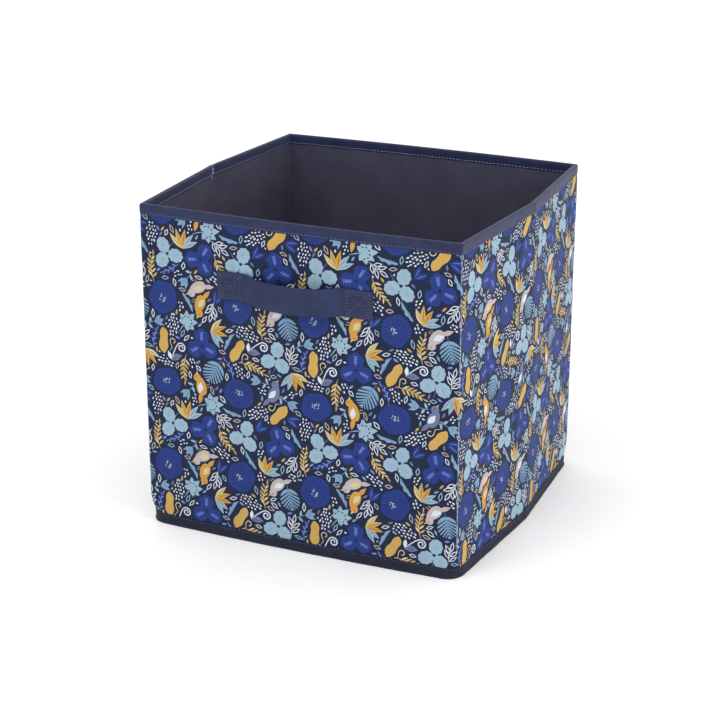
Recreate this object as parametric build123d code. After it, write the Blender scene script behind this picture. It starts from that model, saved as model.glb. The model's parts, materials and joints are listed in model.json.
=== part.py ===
"""Collapsible fabric storage bin: a soft open-topped cube that folds flat.

Six wall panels stand on the base edge: one front, one back and two halves on each side. Each panel is a sandwich of a
printed outer fabric, a stiffening board and a plain lining. A tape binds the rim and another binds the base seam. The
side halves meet at a vertical crease that goes inwards when the bin folds, so that the back comes forward against the
front. A loose covered board stiffens the base and lifts out first. A strap handle is sewn to the front.

Frame: millimetres, +Z up, origin on the floor under the middle of the bin, the front faces -Y.
"""
import math
import os

from build123d import *

# Driving dimensions
WIDTH = 320.0  # across the outer fabric at the corners
DEPTH = 308.0  # front to back, over the outer fabric at the corners
HEIGHT = 320.0
BOW = 4.0  # how far the middle of the front and of the back stands out
SIDE_ANGLE = 3.9  # degrees that each side half leans outwards, so the crease stands out

# Fabric, board and tape
OUTER_FABRIC = 0.7
BOARD = 2.2
LINING = 0.6
TAPE = 0.6
GAP = 0.05  # between layers that lie on each other
RIM_TAPE = 10.0  # height of the rim binding on the wall
BASE_TAPE = 11.0  # height of the base binding on the wall
HEM = 4.2  # folded seam inside the base binding
BOARD_CORNER = 12.0
BOARD_SETBACK = 8.0  # from a board's edge to the fold beside it

# Folds
FOLD_CLEARANCE = 0.25  # from a fold's axis to the tape of the walls beside it
CORNER_END = 0.6  # where a side half starts, past the axis of its corner
CREASE_END = 0.5  # where it ends, short of the axis of the crease

# Base
BASE_FABRIC = 0.6
BASE_BOARD_LIFT = 0.9  # underside of the loose board
BASE_CORE = 2.4
BASE_COVER = 0.3
BASE_CORNER = 20.0
BASE_PLAY = 1.5  # round the loose board
BASE_FABRIC_GAP = 0.3

# Handle
STRAP_WIDTH = 27.0
STRAP = 1.6
STRAP_LENGTH = 156.0
STRAP_END = 31.0  # sewn length at each end
STRAP_MIDDLE = 254.0  # height of the strap's centre line
STRAP_STAND_OFF = 14.0  # how far the loop bows out
LOOP_RIGID = 32.0  # half length of the part of the loop that swings as one
LOOP_GAP = 0.3

WALL = OUTER_FABRIC + GAP + BOARD + GAP + LINING
TAPE_REACH = GAP + TAPE  # how far a tape stands proud of the wall
AXIS_INSET = TAPE_REACH + FOLD_CLEARANCE  # from a wall's face to the axis of a fold beside it
CORNER_X = WIDTH / 2 - WALL - AXIS_INSET
CORNER_Y = DEPTH / 2 - WALL - AXIS_INSET
BOARD_IN = OUTER_FABRIC + GAP
LINING_IN = BOARD_IN + BOARD + GAP
WALL_TOP = HEIGHT - TAPE

LEAN = math.radians(SIDE_ANGLE)
LINK_OFFSET = 2 * AXIS_INSET + WALL  # across a side half, from the corner's axis to the crease's
HALF_LENGTH = (CORNER_Y + LINK_OFFSET * math.sin(LEAN)) / math.cos(LEAN)
CREASE_X = CORNER_X + HALF_LENGTH * math.sin(LEAN) + LINK_OFFSET * math.cos(LEAN)

BOW_RADIUS = ((WIDTH / 2) ** 2 + BOW**2) / (2 * BOW)


def bow_y(x, depth):
    """Y of the front wall at x, at a depth below its outer face."""
    centre = BOW_RADIUS - DEPTH / 2 - BOW
    return centre - math.sqrt((BOW_RADIUS - depth) ** 2 - x**2)


def bowed_slab(x0, x1, depth0, depth1, z0, z1):
    """A layer of the front wall between two depths, curved with the wall."""
    middle = (x0 + x1) / 2
    outside = ThreePointArc(*[(x, bow_y(x, depth0)) for x in (x0, middle, x1)])
    inside = ThreePointArc(*[(x, bow_y(x, depth1)) for x in (x1, middle, x0)])
    outline = [outside, Line(outside @ 1, inside @ 0), inside, Line(inside @ 1, outside @ 0)]
    return Pos(0, 0, z0) * extrude(make_face(outline), z1 - z0)


def side_slab(start, end, depth0, depth1, z0, z1):
    """A layer of the front half of the left side, from its outer face inwards, between two places along it."""
    near, far = start, HALF_LENGTH - end
    thick = depth1 - depth0
    slab = Pos((near + far) / 2, AXIS_INSET + WALL - (depth0 + depth1) / 2, z0) * Box(
        far - near, thick, z1 - z0, align=(Align.CENTER, Align.CENTER, Align.MIN)
    )
    return Pos(-CORNER_X, -CORNER_Y, 0) * Rot(0, 0, 90 + SIDE_ANGLE) * slab


def rounded_below(panel, axis):
    """A board with its two lower corners rounded, on the edges that run through its thickness."""
    through = panel.edges().filter_by(lambda e: abs(e.length - BOARD) < 0.01)
    lowest = through.group_by(Axis.Z)[0]
    return fillet(lowest, BOARD_CORNER)


def sandwich(slab):
    """The five layers of one wall panel. slab(setback, depth0, depth1, z0, z1) makes one of its layers."""
    rim = slab(0, -TAPE_REACH, WALL + TAPE_REACH, HEIGHT - RIM_TAPE, HEIGHT)
    rim -= slab(0, -GAP, WALL + GAP, HEIGHT - RIM_TAPE, WALL_TOP)
    base = slab(0, -TAPE_REACH, WALL + TAPE_REACH, 0, BASE_TAPE)
    base -= slab(0, -GAP, WALL + GAP, HEM, BASE_TAPE)
    board = slab(BOARD_SETBACK, BOARD_IN, BOARD_IN + BOARD, HEM + GAP, WALL_TOP - GAP)
    return {
        "outer_fabric": slab(0, 0, OUTER_FABRIC, HEM + GAP, WALL_TOP - GAP),
        "board": rounded_below(board, Axis.Z),
        "lining": slab(0, LINING_IN, WALL, HEM + GAP, WALL_TOP - GAP),
        "rim_tape": rim,
        "base_tape": base,
    }


def front_layers():
    half = WIDTH / 2
    return sandwich(lambda setback, d0, d1, z0, z1: bowed_slab(setback - half, half - setback, d0, d1, z0, z1))


def left_front_layers():
    def slab(setback, d0, d1, z0, z1):
        return side_slab(CORNER_END + setback, CREASE_END + setback, d0, d1, z0, z1)

    return sandwich(slab)


def wall_nodes():
    """The layers of all six panels. The back mirrors the front, and each side half mirrors the left front one."""
    front = front_layers()
    side = left_front_layers()
    turns = {
        "front": (front, []),
        "back": (front, [Plane.XZ]),
        "left_front": (side, []),
        "left_rear": (side, [Plane.XZ]),
        "right_front": (side, [Plane.YZ]),
        "right_rear": (side, [Plane.XZ, Plane.YZ]),
    }
    nodes = {}
    for panel, (layers, planes) in turns.items():
        for layer, solid in layers.items():
            for plane in planes:
                solid = mirror(solid, plane)
            nodes[f"{panel}_{layer}"] = solid
    return nodes


def rounded_plate(width, depth, thick, z0, radius):
    outline = RectangleRounded(width, depth, radius)
    return Pos(0, 0, z0) * extrude(outline, thick)


def base_nodes():
    """The fabric base, and the loose board that lies on it: a core in a sewn fabric cover."""
    inner_width = WIDTH - 2 * (WALL + TAPE_REACH)
    inner_depth = DEPTH - 2 * (WALL + TAPE_REACH)
    fabric = rounded_plate(
        inner_width - 2 * BASE_FABRIC_GAP, inner_depth - 2 * BASE_FABRIC_GAP, BASE_FABRIC, 0, BASE_CORNER
    )
    width, depth = inner_width - 2 * BASE_PLAY, inner_depth - 2 * BASE_PLAY
    core = rounded_plate(
        width - 2 * BASE_COVER, depth - 2 * BASE_COVER, BASE_CORE, BASE_BOARD_LIFT + BASE_COVER, BASE_CORNER
    )
    cover = rounded_plate(width, depth, BASE_CORE + 2 * BASE_COVER, BASE_BOARD_LIFT, BASE_CORNER + BASE_COVER)
    return {"base_fabric": fabric, "base_board_core": core, "base_board_cover": cover - core}


def strap_slab(x0, x1, z0, z1):
    """A stretch of strap that lies on the front's outer fabric."""
    return bowed_slab(x0, x1, -GAP - STRAP, -GAP, z0, z1)


def loop_point(x, out):
    """A point on the free part of the strap, out from its inner face. It bows as an arc between the sewn ends."""
    reach = STRAP_LENGTH / 2 - STRAP_END
    radius = (reach**2 + STRAP_STAND_OFF**2) / (2 * STRAP_STAND_OFF)
    foot = bow_y(reach, 0) - GAP
    return x, foot - STRAP_STAND_OFF + radius - math.sqrt((radius + out) ** 2 - x**2)


def loop_slab(x0, x1):
    """The strap between two places along the loop."""
    middle = (x0 + x1) / 2
    outside = ThreePointArc(*[loop_point(x, STRAP) for x in (x0, middle, x1)])
    inside = ThreePointArc(*[loop_point(x, 0) for x in (x1, middle, x0)])
    outline = [outside, Line(outside @ 1, inside @ 0), inside, Line(inside @ 1, outside @ 0)]
    return Pos(0, 0, STRAP_MIDDLE - STRAP_WIDTH / 2) * extrude(make_face(outline), STRAP_WIDTH)


def handle_nodes():
    """The strap: two ends sewn flat, the loop that swings, and the two bends that flex between them."""
    low, high = STRAP_MIDDLE - STRAP_WIDTH / 2, STRAP_MIDDLE + STRAP_WIDTH / 2
    inner, outer = STRAP_LENGTH / 2 - STRAP_END, STRAP_LENGTH / 2
    end = strap_slab(inner + LOOP_GAP, outer, low, high)
    bend = loop_slab(LOOP_RIGID + LOOP_GAP, inner - LOOP_GAP)
    return {
        "handle_right_end": end,
        "handle_left_end": mirror(end, Plane.YZ),
        "handle_right_bend": bend,
        "handle_left_bend": mirror(bend, Plane.YZ),
        "handle_loop": loop_slab(-LOOP_RIGID, LOOP_RIGID),
    }


def main():
    os.makedirs("parts", exist_ok=True)
    nodes = {**wall_nodes(), **base_nodes(), **handle_nodes()}
    for name, solid in nodes.items():
        solid.label = name
        export_step(solid, f"parts/{name}.step")
    print("corner axes at x", round(CORNER_X, 3), "y", round(CORNER_Y, 3))
    print("crease axes at x", round(CREASE_X, 3))
    print("handle axis at y", round(bow_y(STRAP_LENGTH / 2 - STRAP_END, 0) - GAP - STRAP / 2, 3))
    print("nodes", len(nodes))


main()
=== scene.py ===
"""Looks of the fabric storage bin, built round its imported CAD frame.

Lengths are in millimetres until a mesh is made. A place on the walls is given by t, z and d: t runs round
the front half from the middle of the front (0) to the side creases (plus and minus), z is the height, and d
the depth below the printed fabric's outer face. The back half is the front half turned by 180 degrees.
"""

import functools
import json
from math import asin, ceil, cos, degrees, floor, hypot, pi, radians, sin, sqrt, tan

import bpy
import numpy as np
from mathutils import Vector
from mathutils.geometry import delaunay_2d_cdt
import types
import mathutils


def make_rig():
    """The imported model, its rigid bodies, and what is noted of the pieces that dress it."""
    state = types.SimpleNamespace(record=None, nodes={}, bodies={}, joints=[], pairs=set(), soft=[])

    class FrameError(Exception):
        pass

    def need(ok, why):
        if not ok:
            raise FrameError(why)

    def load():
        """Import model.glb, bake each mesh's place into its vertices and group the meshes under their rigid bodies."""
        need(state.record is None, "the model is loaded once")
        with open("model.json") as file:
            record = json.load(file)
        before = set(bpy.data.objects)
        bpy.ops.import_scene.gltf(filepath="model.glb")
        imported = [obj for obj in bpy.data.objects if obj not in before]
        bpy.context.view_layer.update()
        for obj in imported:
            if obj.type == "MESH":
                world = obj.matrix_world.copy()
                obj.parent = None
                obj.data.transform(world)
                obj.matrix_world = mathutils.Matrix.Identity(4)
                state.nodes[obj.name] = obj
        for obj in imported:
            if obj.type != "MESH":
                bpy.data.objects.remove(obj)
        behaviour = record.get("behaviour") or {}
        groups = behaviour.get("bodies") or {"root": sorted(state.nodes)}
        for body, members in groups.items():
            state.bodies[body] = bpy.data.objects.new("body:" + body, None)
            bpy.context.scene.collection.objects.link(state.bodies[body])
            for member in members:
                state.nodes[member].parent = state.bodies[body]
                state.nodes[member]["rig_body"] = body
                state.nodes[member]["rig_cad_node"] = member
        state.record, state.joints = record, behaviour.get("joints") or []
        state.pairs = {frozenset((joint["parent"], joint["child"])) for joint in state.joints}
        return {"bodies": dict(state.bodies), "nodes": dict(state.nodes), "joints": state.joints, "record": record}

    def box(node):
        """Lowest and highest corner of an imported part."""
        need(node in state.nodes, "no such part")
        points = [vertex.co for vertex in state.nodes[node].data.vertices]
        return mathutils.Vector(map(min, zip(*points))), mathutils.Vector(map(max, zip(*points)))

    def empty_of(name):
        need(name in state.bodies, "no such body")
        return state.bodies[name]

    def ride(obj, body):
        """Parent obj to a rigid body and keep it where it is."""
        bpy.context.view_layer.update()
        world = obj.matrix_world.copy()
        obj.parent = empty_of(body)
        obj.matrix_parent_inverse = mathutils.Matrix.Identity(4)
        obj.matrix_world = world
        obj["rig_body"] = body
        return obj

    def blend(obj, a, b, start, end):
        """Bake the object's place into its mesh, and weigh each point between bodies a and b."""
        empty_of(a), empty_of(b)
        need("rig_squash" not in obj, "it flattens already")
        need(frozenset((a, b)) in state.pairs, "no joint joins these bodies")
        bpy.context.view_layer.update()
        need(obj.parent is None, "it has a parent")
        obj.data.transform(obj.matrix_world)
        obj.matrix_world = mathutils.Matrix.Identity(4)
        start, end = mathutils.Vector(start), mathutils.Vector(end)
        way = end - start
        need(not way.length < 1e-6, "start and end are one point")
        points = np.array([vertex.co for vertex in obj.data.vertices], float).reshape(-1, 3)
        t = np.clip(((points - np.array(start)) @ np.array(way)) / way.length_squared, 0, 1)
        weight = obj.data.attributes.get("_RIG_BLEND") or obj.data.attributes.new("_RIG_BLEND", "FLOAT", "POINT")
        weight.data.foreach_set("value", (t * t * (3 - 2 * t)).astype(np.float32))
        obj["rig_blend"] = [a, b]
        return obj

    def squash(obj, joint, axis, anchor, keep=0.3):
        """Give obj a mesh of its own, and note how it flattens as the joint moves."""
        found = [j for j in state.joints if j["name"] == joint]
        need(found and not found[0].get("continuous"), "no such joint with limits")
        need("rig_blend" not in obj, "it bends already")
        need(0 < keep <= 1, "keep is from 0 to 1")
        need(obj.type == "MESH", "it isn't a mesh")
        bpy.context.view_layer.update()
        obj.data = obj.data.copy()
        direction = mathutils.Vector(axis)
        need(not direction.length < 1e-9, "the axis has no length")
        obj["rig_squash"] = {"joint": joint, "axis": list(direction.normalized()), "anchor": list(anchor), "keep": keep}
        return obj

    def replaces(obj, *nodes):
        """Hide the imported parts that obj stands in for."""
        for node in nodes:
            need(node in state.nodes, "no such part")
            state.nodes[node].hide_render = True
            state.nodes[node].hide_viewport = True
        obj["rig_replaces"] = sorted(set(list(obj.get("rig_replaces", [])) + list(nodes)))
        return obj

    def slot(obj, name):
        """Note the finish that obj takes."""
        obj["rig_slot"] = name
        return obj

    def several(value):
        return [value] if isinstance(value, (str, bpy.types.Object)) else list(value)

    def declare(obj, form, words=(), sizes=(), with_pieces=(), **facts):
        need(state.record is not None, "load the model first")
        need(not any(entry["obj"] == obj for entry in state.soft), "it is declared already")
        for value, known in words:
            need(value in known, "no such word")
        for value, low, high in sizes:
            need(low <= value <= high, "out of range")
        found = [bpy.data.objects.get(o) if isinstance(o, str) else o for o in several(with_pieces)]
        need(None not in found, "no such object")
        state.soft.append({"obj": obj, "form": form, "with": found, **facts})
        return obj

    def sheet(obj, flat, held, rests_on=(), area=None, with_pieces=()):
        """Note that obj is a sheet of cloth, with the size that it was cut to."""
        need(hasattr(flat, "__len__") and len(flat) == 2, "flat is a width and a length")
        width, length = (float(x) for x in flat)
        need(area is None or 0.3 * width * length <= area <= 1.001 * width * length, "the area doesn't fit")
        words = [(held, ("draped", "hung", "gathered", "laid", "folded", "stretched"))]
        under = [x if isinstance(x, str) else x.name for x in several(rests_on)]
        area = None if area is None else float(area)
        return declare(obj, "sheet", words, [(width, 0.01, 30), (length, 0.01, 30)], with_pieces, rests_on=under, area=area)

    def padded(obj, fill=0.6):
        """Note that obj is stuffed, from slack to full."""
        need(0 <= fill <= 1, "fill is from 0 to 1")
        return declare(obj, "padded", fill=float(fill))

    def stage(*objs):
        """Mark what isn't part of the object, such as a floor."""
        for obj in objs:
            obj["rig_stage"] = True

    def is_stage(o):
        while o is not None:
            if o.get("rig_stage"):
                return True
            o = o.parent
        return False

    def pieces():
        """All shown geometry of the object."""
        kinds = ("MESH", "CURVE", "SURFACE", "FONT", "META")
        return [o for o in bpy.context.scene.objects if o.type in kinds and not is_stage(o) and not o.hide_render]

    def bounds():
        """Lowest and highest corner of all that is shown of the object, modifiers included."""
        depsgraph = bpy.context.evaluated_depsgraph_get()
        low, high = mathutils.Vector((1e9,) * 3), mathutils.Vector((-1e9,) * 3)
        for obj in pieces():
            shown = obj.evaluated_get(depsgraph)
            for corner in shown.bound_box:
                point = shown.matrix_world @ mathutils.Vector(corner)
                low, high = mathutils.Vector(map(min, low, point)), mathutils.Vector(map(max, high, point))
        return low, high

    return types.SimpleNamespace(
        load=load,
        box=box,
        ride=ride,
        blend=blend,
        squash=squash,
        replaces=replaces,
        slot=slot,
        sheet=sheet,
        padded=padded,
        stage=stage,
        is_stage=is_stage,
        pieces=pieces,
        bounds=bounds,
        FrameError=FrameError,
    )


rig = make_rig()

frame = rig.load()
cad_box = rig.bounds()

# Dimensions of the CAD frame
HALF_WIDTH, HALF_DEPTH, HEIGHT, BOW = 160.0, 154.0, 320.0, 4.0
WALL, INSET, LEAN = 3.6, 0.9, radians(3.9)
AXIS_X, AXIS_Y = 155.5, 149.5  # corner folds
LINK = 2 * INSET + WALL
HALF_LENGTH = (AXIS_Y + LINK * sin(LEAN)) / cos(LEAN)
BOW_RADIUS = (HALF_WIDTH**2 + BOW**2) / (2 * BOW)
SIN, COS = sin(LEAN), cos(LEAN)
OPEN_ANGLE = pi / 2 + LEAN + asin(HALF_WIDTH / BOW_RADIUS)  # between front and side
HALF_TURN = (pi - OPEN_ANGLE) / 2

# Where the walls' fabric ends, along a side half from the axis of its corner
WRAP_END, SIDE_START, SIDE_END = -0.7, 0.6, HALF_LENGTH - 0.5
FOOT_RADIUS, EDGE_RADIUS, FOOT_TOP = 16.0, 1.1, 30.0
SKIN_LOW, SKIN_HIGH, SKIN, LINING, TAPE = 4.3, 317.4, 0.6, 0.55, 0.5
RIM_LOW, BINDING_HIGH = 309.8, 11.0  # lower edge of the rim's tape, upper edge of the base's

# ---------------------------------------------------------------- walls


def bow_y(x, d):
    """Y of the front wall at x and depth d."""
    return BOW_RADIUS - HALF_DEPTH - BOW - np.sqrt((BOW_RADIUS - d) ** 2 - x**2)


def corner(d):
    """The front right corner at depth d: its x, and its place along the side half."""
    x = HALF_WIDTH - d
    for _ in range(4):
        along = (bow_y(x, d) + AXIS_Y + (INSET + WALL - d) * SIN) / COS
        x = AXIS_X + along * SIN + (INSET + WALL - d) * COS
    return x, along


CORNER_T = float(corner(0.0)[0])
CORNER_ALONG = float(corner(0.0)[1])
CREASE_T = CORNER_T + HALF_LENGTH - CORNER_ALONG
CREASE_X = AXIS_X + HALF_LENGTH * SIN + LINK * COS


def past(along, d):
    """Distance past the corner of a place along the side half at depth d, as if on the outer face."""
    start = corner(d)[1]
    return (along - start) * (HALF_LENGTH - CORNER_ALONG) / (HALF_LENGTH - start)


def smooth(x, low, high):
    """0 up to low, 1 from high on, and smooth between them."""
    f = np.clip((x - low) / (high - low), 0, 1)
    return f * f * (3 - 2 * f)


def puff(t, z):
    """How far the outer fabric stands out from flat: broad swells, and small puckers at the two bindings."""
    broad = 0.22 * np.sin(t / 17 + 0.6 * np.sin(z / 31)) * np.sin(z / 27 + 1.1 * np.sin(t / 43))
    broad += 0.16 * np.sin(t / 9.7 + z / 23) * np.sin(z / 13 - t / 37)
    pucker = np.sin(t / 1.9 + 1.7 * np.sin(t / 11)) + 0.6 * np.sin(t / 3.3)
    edge = 0.13 * np.exp(-(((HEIGHT - z) - 12) / 7) ** 2) + 0.12 * np.exp(-((z - 14) / 8) ** 2)
    return 0.36 + broad + edge * pucker


def ring(t, z, d, radius=None):
    """Points of the front half at t, z and d, its corners rounded as the walls are or by the radius given."""
    t, z, d = np.broadcast_arrays(np.asarray(t, float), z, d)
    side, c = np.sign(t), np.abs(t) - CORNER_T
    cx, start = corner(d)
    cy = bow_y(cx, d)
    e = np.where(c < 0, -c * cx / CORNER_T, c * (HALF_LENGTH - start) / (HALF_LENGTH - CORNER_ALONG))
    if radius is None:
        radius = EDGE_RADIUS + (FOOT_RADIUS - EDGE_RADIUS) * (1 - smooth(z, 5, FOOT_TOP))
        radius = np.maximum(radius - d, 0.35)
    reach = radius * tan(HALF_TURN)
    turn = HALF_TURN * np.clip(1 - e / reach, 0, 1)
    u = np.where(e < reach, reach - radius * np.sin(turn), e)
    v = np.where(e < reach, radius * (1 - np.cos(turn)), 0)
    on_front = np.stack([cx - u - v * cx / BOW_RADIUS, bow_y(cx - u, d) + v], -1)
    on_side = np.stack([cx + u * SIN - v * COS, cy + u * COS + v * SIN], -1)
    xy = np.where((c < 0)[..., None], on_front, on_side)
    return np.stack([xy[..., 0] * np.where(side == 0, 1, side), xy[..., 1], z], -1)


# ---------------------------------------------------------------- meshes


def beside(x, y):
    """Two rows of numbers side by side, as points."""
    return np.stack([x, y], 1)


def run_of(line):
    """Distance along a line at each of its points."""
    return np.concatenate([[0], np.cumsum(np.linalg.norm(np.diff(np.array(line), axis=0), axis=1))])


def shell(outer, inner, faces):
    """A closed sheet between two copies of one surface."""
    n = len(outer)
    edges = {(int(a), int(b)): True for f in faces for a, b in zip(f, np.roll(f, -1))}
    rim = [(b, a, a + n, b + n) for a, b in edges if (b, a) not in edges]
    back = [tuple(int(i) + n for i in f[::-1]) for f in faces]
    return np.concatenate([outer, inner]), [tuple(map(int, f)) for f in faces] + back + rim


def grid_faces(rows, columns, closed=False):
    """Quads of a grid of rows by columns, columns running with t and rows with z."""
    last = columns if closed else columns - 1
    pairs = [(r * columns + c, r * columns + (c + 1) % columns) for r in range(rows - 1) for c in range(last)]
    return [(a, b, b + columns, a + columns) for a, b in pairs]


def tube_faces(rings, sides, inside_out=False):
    """Quads round a row of closed rings, with a cap at each end."""
    last = sides * (rings - 1)
    faces = grid_faces(rings, sides, closed=True)
    faces += [tuple(range(sides))[::-1], tuple(range(last, last + sides))]
    return [f[::-1] for f in faces] if inside_out else faces


def turned(points, half):
    """Points of the front half as they are, or turned into those of the back half."""
    return points * np.array([-1, -1, 1]) if half else points


def make(name, points, faces, material, cloth=None, attributes=(), sharp=40):
    """A mesh object from points in millimetres. cloth has their places on the flat cloth."""
    mesh = bpy.data.meshes.new(name)
    mesh.from_pydata((np.asarray(points) / 1000).tolist(), [], faces)
    for title, kind, domain, field, values in attributes:
        layer = mesh.attributes.new(title, kind, domain)
        layer.data.foreach_set(field, np.asarray(values, np.float32).ravel())
    mesh.materials.append(material)
    mesh.polygons.foreach_set("use_smooth", np.ones(len(mesh.polygons), bool))
    mesh.set_sharp_from_angle(angle=radians(sharp))
    mesh.validate()
    if cloth is not None:
        index = np.zeros(len(mesh.loops), np.int32)
        mesh.loops.foreach_get("vertex_index", index)
        flat = (np.asarray(cloth)[index] / 1000).astype(np.float32)
        mesh.uv_layers.new(name="cloth").data.foreach_set("uv", flat.ravel())
    return linked(bpy.data.objects.new(name, mesh))


def linked(obj):
    bpy.context.scene.collection.objects.link(obj)
    return obj


def placed(obj, body, slot, *nodes):
    """Gives a piece its body, its slot and the CAD nodes that it stands for."""
    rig.ride(obj, body)
    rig.slot(obj, slot)
    if nodes:
        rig.replaces(obj, *nodes)
    return obj


# ---------------------------------------------------------------- print: motifs as outlines

TILE_HIGH = 168.0
TILE_WIDE = CREASE_T / 2  # so that the print meets itself at both creases
COLOURS = {
    "ground": (0.0046, 0.0112, 0.040),
    "ink": (0.004, 0.0082, 0.025),
    "royal": (0.010, 0.031, 0.180),
    "royal_dark": (0.007, 0.017, 0.090),
    "periwinkle": (0.15, 0.20, 0.56),
    "sky": (0.16, 0.28, 0.42),
    "pale_sky": (0.25, 0.37, 0.46),
    "mustard": (0.48, 0.305, 0.078),
    "orange": (0.50, 0.255, 0.042),
    "cream": (0.53, 0.45, 0.23),
    "white": (0.56, 0.60, 0.68),
    "rose_grey": (0.42, 0.36, 0.36),
    "lilac": (0.12, 0.14, 0.26),
}


def moved(shape, angle=0.0, x=0.0, y=0.0):
    """A shape, or a list of (colour, shape), turned by degrees and moved."""
    if isinstance(shape, list):
        return [(colour, moved(s, angle, x, y)) for colour, s in shape]
    c, s = cos(radians(angle)), sin(radians(angle))
    return shape @ np.array([[c, s], [-s, c]]) + np.array([x, y])


def leaf(length, width, n=6, bend=0.0):
    """A leaf from the origin along +X, widest at the middle."""
    x = np.linspace(0, 1, n + 1)
    half = width / 2 * np.sin(np.pi * x) ** 1.15
    rise = bend * length * 4 * x * (1 - x)
    top = beside(x * length, rise + half)
    low = beside(x * length, rise - half)
    return np.concatenate([low, top[-2:0:-1]])


def disc(radius, n=24, lobes=0, depth=0.0, squash=1.0):
    """A round or lobed outline of n points."""
    a = np.arange(n) * 2 * np.pi / n
    r = radius * (1 - depth * (1 - np.abs(np.cos(lobes * a / 2))))
    return beside(r * np.cos(a), squash * r * np.sin(a))


def to_left(line):
    """Directions to the left of a flat line at each of its points."""
    way = np.gradient(line, axis=0)
    return beside(-way[:, 1], way[:, 0]) / np.linalg.norm(way, axis=1)[:, None]


def ribbon(line, half):
    """An outline round a line, at a distance on both sides."""
    reach = to_left(line) * np.asarray(half)[:, None]
    return np.concatenate([line - reach, (line + reach)[::-1]])


def stroke(points, width, taper=0.35):
    """A line of some width that thins out at both ends."""
    f = np.linspace(0, 1, len(points))
    return ribbon(np.asarray(points, float), width / 2 * (taper + (1 - taper) * np.sin(np.pi * f) ** 0.7))


# A motif is a row of parts in drawing order: colour, shape, and where it needs them its turn, x and y


def outlined(length, width, line="white"):
    """A leaf drawn as an outline."""
    hollow = moved(leaf(length * 0.70, width * 0.56), 0, length * 0.15, 0)
    return [(line, leaf(length, width)), ("ink", hollow)]


def frond(length, pairs, leaf_long, leaf_wide, stem, leaves, bend):
    """A stem with leaves in pairs that get shorter towards the tip."""
    x = np.linspace(0, length, 8)
    yield stem, stroke(beside(x, bend * np.sin(np.pi * x / length)), 0.8)
    for i in range(pairs):
        f = 0.16 + 0.78 * i / pairs
        one = leaf(leaf_long * (1 - 0.35 * f), leaf_wide * (1 - 0.35 * f), 4)
        for side in (1, -1):
            place = (f * length + (side > 0) * 0.8, bend * sin(pi * f))
            yield leaves[(i + (side > 0)) % len(leaves)], one, side * 44 * (1 - 0.2 * f), *place
    yield leaves[0], leaf(leaf_long * 0.75, leaf_wide * 0.7, 4), 0, length * 0.95, 0


def round_flower(radius, rng):
    edge = disc(radius, 44, 22, 0.05)
    around = np.arctan2(edge[:, 1], edge[:, 0]) + rng.uniform(0, 2 * np.pi)
    yield "royal", edge * (1 + 0.05 * np.sin(2 * around) + 0.035 * np.sin(5 * around))[:, None]
    for i in range(20):
        start, end = radius * rng.uniform(0.30, 0.42), radius * rng.uniform(0.86, 0.97)
        slit = stroke([(start, 0), ((start + end) / 2, 0.3), (end, 0)], 0.95, 0.2)
        yield "royal_dark", slit, i * 18 + rng.uniform(-3, 3)
    for i in range(15):
        a, r = rng.uniform(0, 2 * np.pi), 3.6 * sqrt(rng.uniform(0, 1))
        speck = disc(rng.uniform(0.4, 0.62), 5, squash=1.5)
        place = (r * cos(a) * 1.1, r * sin(a) - 0.1 * radius)
        yield ("cream", "rose_grey", "pale_sky")[i % 3], speck, degrees(a), *place


def petals(reach, jitter, rng):
    """Three places round a middle: turn, x and y."""
    for i in range(3):
        a = 90 + 120 * i + rng.uniform(-jitter, jitter)
        yield a, reach * cos(radians(a)), reach * sin(radians(a))


def trio_flower(rng):
    yield "royal_dark", stroke([(0, 0), (-4, -9), (-5, -16)], 1.0)
    twig = stroke([(0, 0), (1.196, 0.1), (2.576, 0)], 0.7)
    veins = [moved(twig, side * 48, -3.22 + i * 2.07, 0) for i in range(4) for side in (1, -1)]
    for place in petals(8.6, 6, rng):
        yield "royal", disc(8.3, 24, 5, 0.14), *place
        for vein in [stroke([(-4.6, 0), (0, 0.2), (4.6, 0)], 0.75), *veins]:
            yield "periwinkle", vein, *place


def clover(rng):
    yield "lilac", stroke([(0, 0), (1.5, -8), (0, -15)], 0.8)
    for a, x, y in petals(8.8, 8, rng):
        yield "pale_sky", disc(8.0, 36, 9, 0.10, 0.86), a, x, y
        for i in (-1, 0, 1):
            yield "sky", stroke([(-2.6, 0), (0, 0.5), (2.8, 0)], 0.5), a + i * 28, x, y + i * 1.5


def striped_leaf(radius):
    yield "sky", disc(radius, 26, squash=0.95)
    yield "ground", stroke([(-radius, 0), (radius * 0.8, 0)], 0.8)
    for i in range(6):
        x, a = -radius * 0.72 + i * radius * 0.26, radians(62 - 5 * i)
        out = -x * cos(a) + sqrt(radius**2 - (x * sin(a)) ** 2)
        slit = np.array([(0.8, -0.35), (out, -0.9), (out, 0.9), (0.8, 0.35)])
        for side in (1, -1):
            yield "ground", slit, side * degrees(a), x, 0
    yield "sky", stroke([(-radius * 1.4, 0), (-radius * 0.97, 0)], 0.9)


def lobed_leaf(rng):
    yield "pale_sky", stroke([(-15, -1), (-8, 0), (0, 0)], 0.9)
    for a, length in zip((0, 42, -42, 88, -88, 132, -132), (13, 12, 12, 11, 11, 9, 9)):
        yield "pale_sky", leaf(length + rng.uniform(-0.7, 0.7), 6.0, 5), a
    for i in range(6):
        a = radians(-100 + 40 * i)
        yield "ink", disc(0.75, 6, squash=1.4), degrees(a), 5.4 * cos(a), 5.4 * sin(a)


def fan(rng):
    shades = ("pale_sky", "cream", "pale_sky", "mustard", "orange")
    for a, shade in zip((-54, 52, -30, 27, -2), shades):
        length = rng.uniform(17, 20)
        yield shade, leaf(length, 4.9, 6, 0.03), 90 + a
        yield "ink", stroke([(4, 0), (length * 0.5, 0.3), (length * 0.82, 0)], 0.5), 90 + a


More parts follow.
